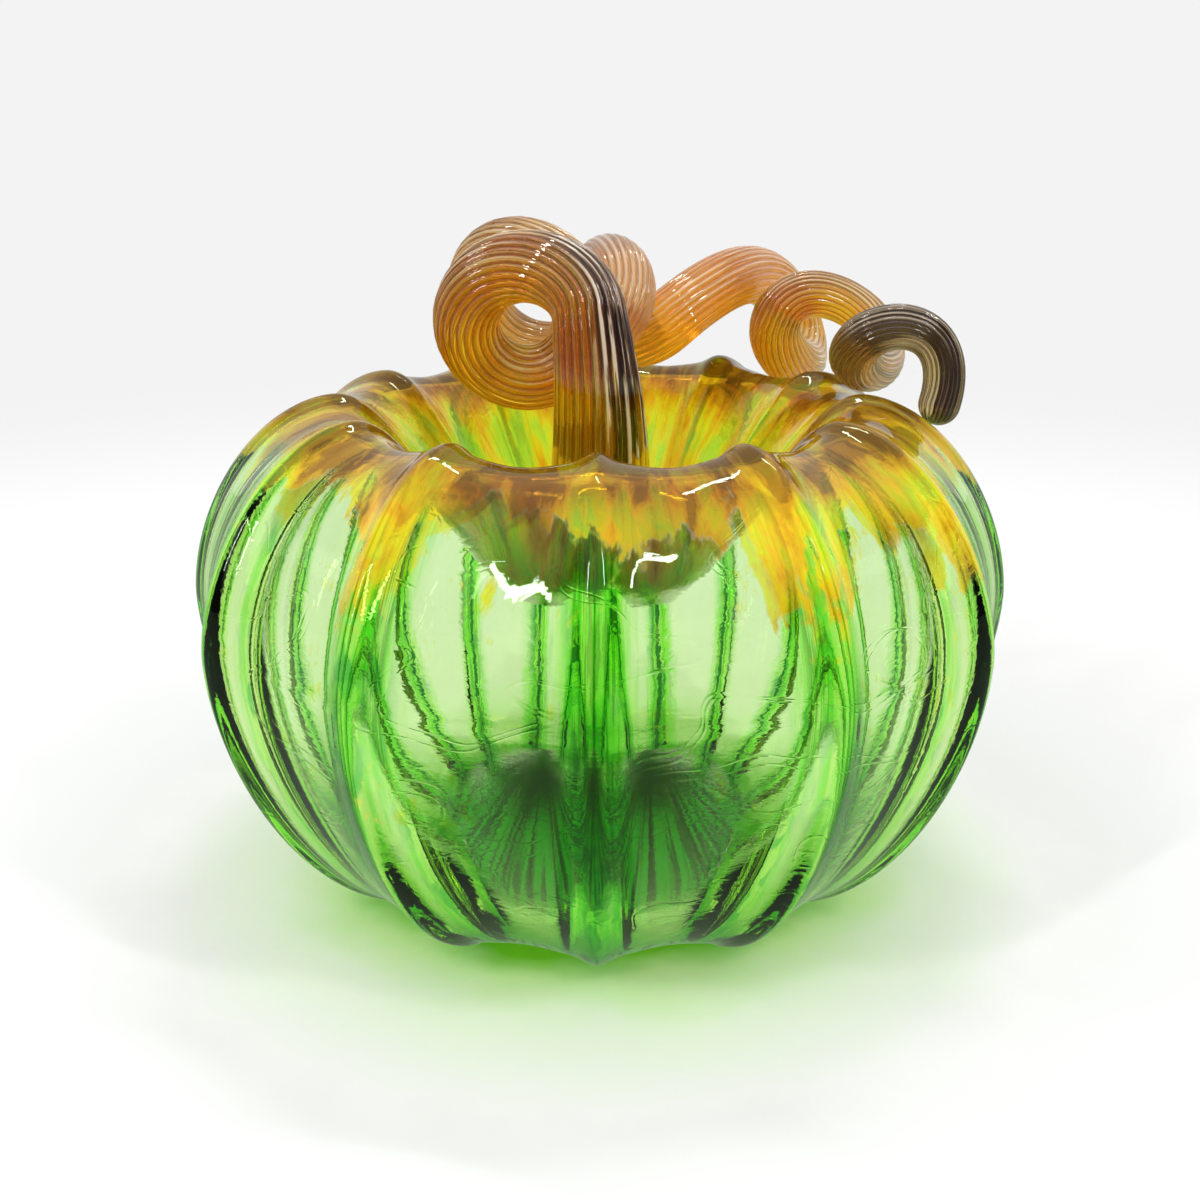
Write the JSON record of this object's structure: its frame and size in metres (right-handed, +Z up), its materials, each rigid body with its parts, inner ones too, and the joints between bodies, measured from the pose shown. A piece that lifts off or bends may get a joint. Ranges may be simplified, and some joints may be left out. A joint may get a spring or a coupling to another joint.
{
  "type": "glass pumpkin",
  "caption": "Blown glass pumpkin: a ribbed hollow body of green and amber glass with a deep well on top, and a solid amber glass stem coiled into a tendril.",
  "frame": {"origin": "middle of the foot ring, on the surface that the pumpkin stands on", "axes": "+Z up along the body's axis; the front looks along +Y with a rib of the body facing it, and the tendril falls to +X"},
  "size_m": [0.165, 0.165, 0.1326],
  "materials": {
    "green_glass": "fire-polished, clear green with amber shoulders",
    "amber_glass": "fire-polished, clear amber with lustre streaks"
  },
  "bodies": {
    "root": {"body_shell": "green_glass", "stem": "amber_glass"}
  },
  "joints": []
}
